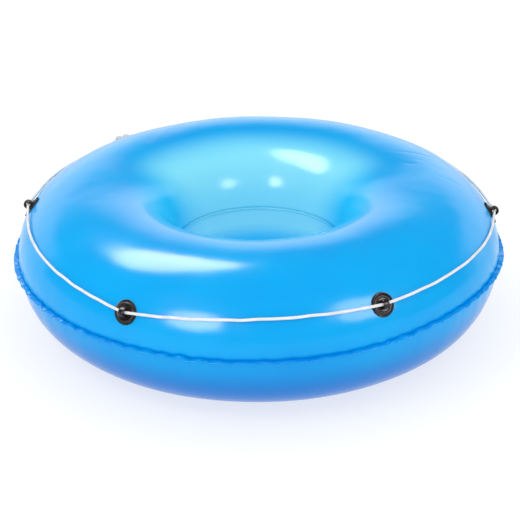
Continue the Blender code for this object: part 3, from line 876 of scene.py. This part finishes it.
def inner_seam_mesh():
    """The narrow welded flange in the centre hole."""
    angle = np.arange(INNER_SEAM_COLUMNS) * 2 * pi / INNER_SEAM_COLUMNS
    share = np.linspace(0.0, 1.0, 5)
    swing = INNER_SWING * ring_wave(angle, 51, 40, 90)[:, None]
    start = INNER_SEAM_RADIUS + INNER_FLANGE_OVERLAP
    radius = np.tile(start - (INNER_FLANGE_WIDTH + INNER_FLANGE_OVERLAP) * share, (len(angle), 1))
    height = INNER_SEAM_HEIGHT + swing * share
    thick = np.interp(share, (0.0, 1.0), INNER_FLANGE_THICKNESS)
    upper = np.stack([radius, height + thick], axis=-1)
    lower = np.stack([radius, height - thick], axis=-1)
    line = np.concatenate([upper, lower[:, ::-1]], axis=1)
    out = np.stack([np.cos(angle), np.sin(angle)], axis=-1)[:, None, :]
    grid = np.concatenate([out * line[..., :1], line[..., 1:]], axis=-1)
    return mesh_from_grid("inner_seam", grid)


def build_skins():
    """Top and bottom sheet and the two welded flanges."""
    film = vinyl_material(
        "vinyl_film", (0.0, 0.41, 0.89, 1.0), (0.0, 0.37, 0.86, 1.0), 0.17, PAINTED_BACKLIGHT_TINT
    )
    weld = vinyl_material("vinyl_weld", (0.0, 0.36, 0.86, 1.0), (0.0, 0.30, 0.84, 1.0), 0.30)
    for name, top, node in (("top_skin", True, "top_sheet"), ("bottom_skin", False, "bottom_sheet")):
        skin = add_piece(name, skin_mesh(name, top), film, node=node)
        if top:
            cut_valve_hole(skin)
    for mesh, material in ((outer_seam_mesh(), weld), (inner_seam_mesh(), film)):
        seam = add_piece(mesh.name, mesh, material)


def cut_valve_hole(skin):
    """Opens the film where the valve's cup goes through it."""
    tool_mesh = drill_mesh("hole_tool", VALVE_HOLE_RADIUS, VALVE_HOLE_REACH, 64)
    apply_boolean(skin, tool_mesh, skin_frame(radians(VALVE_ANGLE), VALVE_HEIGHT), "DIFFERENCE")


def drill_mesh(name, radius, reach, segments):
    """A round cutter along Z."""
    profile = [(0, -reach), (radius, -reach), (radius, reach), (0, reach)]
    return turned_mesh(name, profile, segments)


def apply_boolean(piece, tool_mesh, place, operation):
    """Cuts or joins a tool mesh into a piece and keeps the result as the piece's mesh."""
    tool = bpy.data.objects.new("tool", tool_mesh)
    bpy.context.collection.objects.link(tool)
    tool.matrix_world = place
    modifier = piece.modifiers.new("cut", "BOOLEAN")
    modifier.operation = operation
    modifier.solver = "EXACT"
    modifier.object = tool
    bpy.context.view_layer.update()
    evaluated = piece.evaluated_get(bpy.context.evaluated_depsgraph_get())
    made = bpy.data.meshes.new_from_object(evaluated)
    piece.modifiers.clear()
    old = piece.data
    piece.data = made
    made.name = old.name
    bpy.data.meshes.remove(old)
    bpy.data.objects.remove(tool)


# ---- eyelets ----

def eyelet_disc_mesh():
    """Flat eyelet disc with a toothed rim and a raised ring round its recess."""
    profile = [
        (0.0, 0.0003), (0.008, 0.0003), (0.016, 0.0003), (0.0242, 0.0003), (0.0249, 0.0008),
        (0.0250, 0.0016), (0.0247, 0.0023), (0.0241, 0.0027), (0.0228, 0.0029), (0.0210, 0.0029),
        (0.0197, 0.0029), (0.0192, 0.0030), (0.0187, 0.0034), (0.0180, 0.0039), (0.0170, 0.0041),
        (0.0160, 0.0040), (0.0151, 0.0034), (0.0145, 0.0026), (0.0138, 0.0021), (0.0125, 0.0019),
        (0.0080, 0.0019), (0.0, 0.0019),
    ]

    def tooth(radius, height, turn):
        if radius < 0.0195 or height < 0.0008:
            return radius, height
        groove = (0.5 - 0.5 * cos(EYELET_TEETH * turn)) ** 1.2
        depth = TOOTH_DEPTH if radius > 0.0205 else TOOTH_DEPTH_INSIDE
        notch = TOOTH_NOTCH if radius > 0.0235 else 0.0
        return radius - notch * groove, max(height - depth * groove, 0.0006)

    return turned_mesh("eyelet_disc", profile, EYELET_TEETH * 6, tooth)


def eye_mesh():
    """Standing eye with a flared hole along X; its foot runs down into the disc."""
    columns = 72
    grid = []
    for column in range(columns):
        turn = 2 * pi * column / columns
        direction = Vector((cos(turn), sin(turn)))
        reach = EYE_RIM_RADIUS
        if direction.y < 0:
            sideways = EYE_RIM_RADIUS / max(abs(direction.x), 1e-6)
            reach = min(sideways, (EYE_HEIGHT - EYE_FOOT) / -direction.y)
        rows = []
        wall = reach - EYE_HOLE_RADIUS
        for share in np.linspace(0.0, 2 * pi, 20, endpoint=False):
            c, s = cos(share), sin(share)
            x = EYE_HALF_LENGTH * abs(c) ** 0.45 * (1 if c > 0 else -1)
            r = EYE_HOLE_RADIUS + wall / 2 + wall / 2 * abs(s) ** 0.6 * (1 if s > 0 else -1)
            rows.append((x, direction.x * r, EYE_HEIGHT + direction.y * r))
        grid.append(rows)
    return mesh_from_grid("eye", np.array(grid))


def eyelet_pattern():
    """A flat eyelet, the disc and the eye in one mesh."""
    eye = eye_mesh()
    outward(eye)
    disc = eyelet_disc_mesh()
    outward(disc)
    former = bpy.data.objects.new("eyelet_former", disc)
    bpy.context.collection.objects.link(former)
    apply_boolean(former, eye, Matrix.Identity(4), "UNION")
    pattern = former.data
    bpy.data.objects.remove(former)
    return pattern


def build_eyelets():
    """Six eyelets, each bent to the skin under it."""
    material = moulded_material(
        "eyelet_vinyl", (0.006, 0.005, 0.005, 1.0), (0.030, 0.020, 0.015, 1.0), 0.24, 0.40
    )
    pattern = eyelet_pattern()
    flat = np.zeros(len(pattern.vertices) * 3, np.float32)
    pattern.vertices.foreach_get("co", flat)
    flat = flat.reshape(-1, 3).astype(float)
    for number, (degrees, height) in enumerate(EYELETS, start=1):
        place = skin_frame(radians(degrees), height)
        bent = flat.copy()
        bent[:, 2] -= skin_drop(place, flat[:, 0], flat[:, 1])
        base = np.array(place)
        world = bent @ base[:3, :3].T + base[:3, 3]
        mesh = pattern.copy()
        mesh.name = f"moulded_eyelet_{number}"
        mesh.vertices.foreach_set("co", world.astype(np.float32).ravel())
        mesh.update()
        mesh.shade_smooth()
        piece = add_piece(
            mesh.name, mesh, material, node=f"rope_eyelet_{number}", sharp=50
        )


# ---- valve ----

def place_mesh(mesh, place):
    mesh.transform(place)
    return mesh


def build_valve():
    """Fine turned pieces in the places of the valve's CAD nodes."""
    place = skin_frame(radians(VALVE_ANGLE), VALVE_HEIGHT)
    black = moulded_material("valve_black", (0.013, 0.013, 0.014, 1.0), (0.04, 0.04, 0.042, 1.0))
    grey = moulded_material("valve_grey_plastic", (0.16, 0.17, 0.18, 1.0), (0.22, 0.23, 0.24, 1.0))
    rubber = moulded_material(
        "valve_rubber", (0.020, 0.020, 0.020, 1.0), (0.05, 0.05, 0.05, 1.0), 0.6, 0.8
    )
    clear = moulded_material(
        "valve_silicone", (0.60, 0.62, 0.60, 1.0), (0.50, 0.52, 0.50, 1.0), 0.35, 0.5
    )
    pieces = (
        ("valve_body", base_mesh(place), black, "root", "valve_base", "moulded_black"),
        ("valve_core", insert_mesh(), grey, "valve_insert", "valve_insert", "valve_grey"),
        ("valve_flap", flap_mesh(), clear, "valve_diaphragm", "valve_diaphragm", "silicone"),
        ("valve_washer", washer_mesh(), rubber, "valve_seal", "valve_seal", "seal_rubber"),
        ("valve_cap_liner", liner_mesh(), rubber, "cap_liner", "cap_liner", "seal_rubber"),
        ("valve_screw_cap", cap_mesh(), black, "valve_cap", "valve_cap", "moulded_black"),
    )
    for name, mesh, material, body, node, slot in pieces:
        piece = add_piece(name, place_mesh(mesh, place), material, body, node, sharp=40)


def base_mesh(place):
    """Welded flange with a few concentric weld ribs, and the recessed cup and bore."""
    profile = [
        (0.0115, -0.0140), (0.0133, -0.0140), (0.0133, -0.0053), (0.0168, -0.0053),
        (0.0168, 0.0003), (0.0215, 0.0003), (0.0260, 0.0003), (0.0260, 0.0009),
        (0.0250, 0.0014), (0.0240, 0.0015), (0.0235, 0.0012), (0.0230, 0.0015),
        (0.0222, 0.0015), (0.0217, 0.0012), (0.0212, 0.0015), (0.0204, 0.0015),
        (0.0199, 0.0012), (0.0194, 0.0015), (0.0172, 0.0016), (0.0154, 0.0015),
        (0.0150, 0.0011), (0.0150, -0.0035), (0.0115, -0.0035),
    ]
    mesh = turned_ring_mesh("valve_body", rounded(profile, 0.0003, 2), 96)
    flat = np.array([v.co for v in mesh.vertices])
    reach = np.hypot(flat[:, 0], flat[:, 1])
    weight = np.clip((reach - VALVE_CUP_RADIUS) / VALVE_CUP_STIFFNESS, 0.0, 1.0)
    flat[:, 2] -= weight * skin_drop(place, flat[:, 0], flat[:, 1])
    mesh.vertices.foreach_set("co", flat.astype(np.float32).ravel())
    return mesh


def insert_mesh():
    """The screw-in insert: rim, sleeve, neck and a seat with a ring of air holes."""
    profile = [
        (0.0016, -0.0080), (0.0096, -0.0080), (0.0096, -0.0130), (0.0112, -0.0130),
        (0.0112, -0.0019), (0.0144, -0.0019), (0.0144, -0.0005), (0.0090, -0.0005),
        (0.0090, 0.0036), (0.0086, 0.0040), (0.0065, 0.0040), (0.0065, -0.0060),
        (0.0016, -0.0060),
    ]
    mesh = turned_ring_mesh("valve_core", rounded(profile, 0.0003, 2), 72, knurl_rim)
    holder = bpy.data.objects.new("core_former", mesh)
    bpy.context.collection.objects.link(holder)
    for number in range(AIR_HOLE_COUNT):
        turn = 2 * pi * number / AIR_HOLE_COUNT
        hole = drill_mesh("hole", AIR_HOLE_RADIUS, 0.002, 20)
        spot = Matrix.Translation(
            (AIR_HOLE_CIRCLE * cos(turn), AIR_HOLE_CIRCLE * sin(turn), AIR_HOLE_HEIGHT)
        )
        apply_boolean(holder, hole, spot, "DIFFERENCE")
    made = holder.data
    bpy.data.objects.remove(holder)
    return made


def knurl_rim(radius, height, turn):
    """Finger notches round the insert's rim."""
    if radius > 0.0130:
        groove = (0.5 - 0.5 * cos(INSERT_NOTCHES * turn)) ** 4
        return radius - INSERT_NOTCH_DEPTH * groove, height
    return radius, height


def flap_mesh():
    """The one-way disc with its stem and button."""
    profile = [
        (0.0, -0.0091), (0.0085, -0.0089), (0.0090, -0.0083), (0.0020, -0.0083),
        (0.0013, -0.0081), (0.0013, -0.0037), (0.0025, -0.0037), (0.0021, -0.0030), (0.0, -0.0028),
    ]
    return turned_mesh("valve_flap", rounded(profile, 0.0002, 2, closed=False), 48)


def washer_mesh():
    profile = [(0.0118, -0.0032), (0.0138, -0.0032), (0.0138, -0.0022), (0.0118, -0.0022)]
    return turned_ring_mesh("valve_washer", rounded(profile, 0.0004, 3), 72)


def liner_mesh():
    profile = [(0.0, 0.0043), (0.0089, 0.0043), (0.0089, 0.0051), (0.0, 0.0051)]
    return turned_mesh("valve_cap_liner", rounded(profile, 0.0002, 2, closed=False), 48)


def cap_mesh():
    """Screw cap with grip scallops and a dished top."""
    profile = [
        (0.0, 0.0054), (0.0094, 0.0054), (0.0094, -0.0002), (0.0125, -0.0002),
        (0.0125, 0.0022), (0.0165, 0.0022), (0.0165, 0.0066), (0.0159, 0.0072),
        (0.0140, 0.0072), (0.0134, 0.0067), (0.0, 0.0066),
    ]

    def grip(radius, height, turn):
        if radius > 0.0155:
            groove = (0.5 - 0.5 * cos(CAP_SCALLOPS * turn)) ** 3
            return radius - CAP_SCALLOP_DEPTH * groove, height
        return radius, height

    return turned_mesh("valve_screw_cap", rounded(profile, 0.0004, 3, closed=False), 160, grip)


# ---- floor and light ----

def build_floor():
    """Pale floor that is as bright under the tube as far behind it, but for the contact shadow."""
    size = FLOOR_HALF_SIZE
    mesh = bpy.data.meshes.new("floor")
    corners = [(-size, -size), (size, -size), (size, size), (-size, size)]
    mesh.from_pydata([(x, y, FLOOR_LEVEL) for x, y in corners], [], [(0, 1, 2, 3)])
    floor = bpy.data.objects.new("floor", mesh)
    bpy.context.collection.objects.link(floor)
    material = bpy.data.materials.new("pale_floor")
    material.use_nodes = True
    shader = material.node_tree.nodes["Principled BSDF"]
    shader.inputs["Base Color"].default_value = FLOOR_COLOUR
    shader.inputs["Roughness"].default_value = 1.0
    shader.inputs["Specular IOR Level"].default_value = 0.0
    shader.inputs["Emission Color"].default_value = (1.0, 1.0, 1.0, 1.0)
    shader.inputs["Emission Strength"].default_value = FLOOR_GLOW
    mesh.materials.append(material)


def add_softbox(name, place, target, size, radiance, lights_faces=False):
    """An oval soft light; its power follows from how bright its face is."""
    data = bpy.data.lights.new(name, "AREA")
    data.shape = "ELLIPSE"
    data.size, data.size_y = size
    data.energy = radiance * pi * pi / 4 * size[0] * size[1]
    if not lights_faces:
        data.color = SOFTBOX_COLOUR
    light = bpy.data.objects.new(name, data)
    bpy.context.collection.objects.link(light)
    light.location = place
    direction = Vector(target) - Vector(place)
    light.rotation_euler = direction.to_track_quat("-Z", "Y").to_euler()
    light.visible_diffuse = lights_faces
    light.visible_glossy = not lights_faces


def build_world():
    """Even white light all round, in which gloss shows a white backdrop behind and a dim room."""
    world = bpy.data.worlds.new("studio")
    bpy.context.scene.world = world
    world.use_nodes = True
    tree = world.node_tree
    direction = tree.nodes.new("ShaderNodeTexCoord").outputs["Generated"]
    split = tree.nodes.new("ShaderNodeSeparateXYZ")
    tree.links.new(direction, split.inputs["Vector"])
    low = world_ramp(tree, split.outputs["Z"], BACKDROP_TOP, (0.0, 1.0))
    behind = world_ramp(tree, split.outputs["Y"], BACKDROP_SIDE, (0.0, 1.0))
    both = tree.nodes.new("ShaderNodeMath")
    both.operation = "MULTIPLY"
    tree.links.new(low, both.inputs[0])
    tree.links.new(behind, both.inputs[1])
    strength = world_ramp(tree, both.outputs["Value"], (0.0, 1.0), (ROOM_LIGHT, BACKDROP_LIGHT))
    choice = tree.nodes.new("ShaderNodeMix")
    path = tree.nodes.new("ShaderNodeLightPath")
    tree.links.new(path.outputs["Is Glossy Ray"], choice.inputs["Factor"])
    choice.inputs["A"].default_value = FILL_LIGHT
    tree.links.new(strength, choice.inputs["B"])
    tree.links.new(choice.outputs["Result"], tree.nodes["Background"].inputs["Strength"])
    tree.nodes["Background"].inputs["Color"].default_value = (1.0, 1.0, 1.0, 1.0)


def world_ramp(tree, value, given, result):
    """A smooth ramp of a value from its given pair of ends to the resulting pair."""
    node = tree.nodes.new("ShaderNodeMapRange")
    node.interpolation_type = "SMOOTHSTEP"
    tree.links.new(value, node.inputs["Value"])
    for name, number in zip(("From Min", "From Max", "To Min", "To Max"), given + result):
        node.inputs[name].default_value = number
    return node.outputs["Result"]


def build_light():
    build_world()
    for softbox in SOFTBOXES:
        add_softbox(*softbox)
    add_softbox(*KEY_LIGHT, lights_faces=True)
    bpy.context.scene.view_settings.view_transform = "Standard"


def main():
    build_camera()
    build_rope(rope_material())
    build_skins()
    build_eyelets()
    build_valve()
    build_floor()
    build_light()


main()
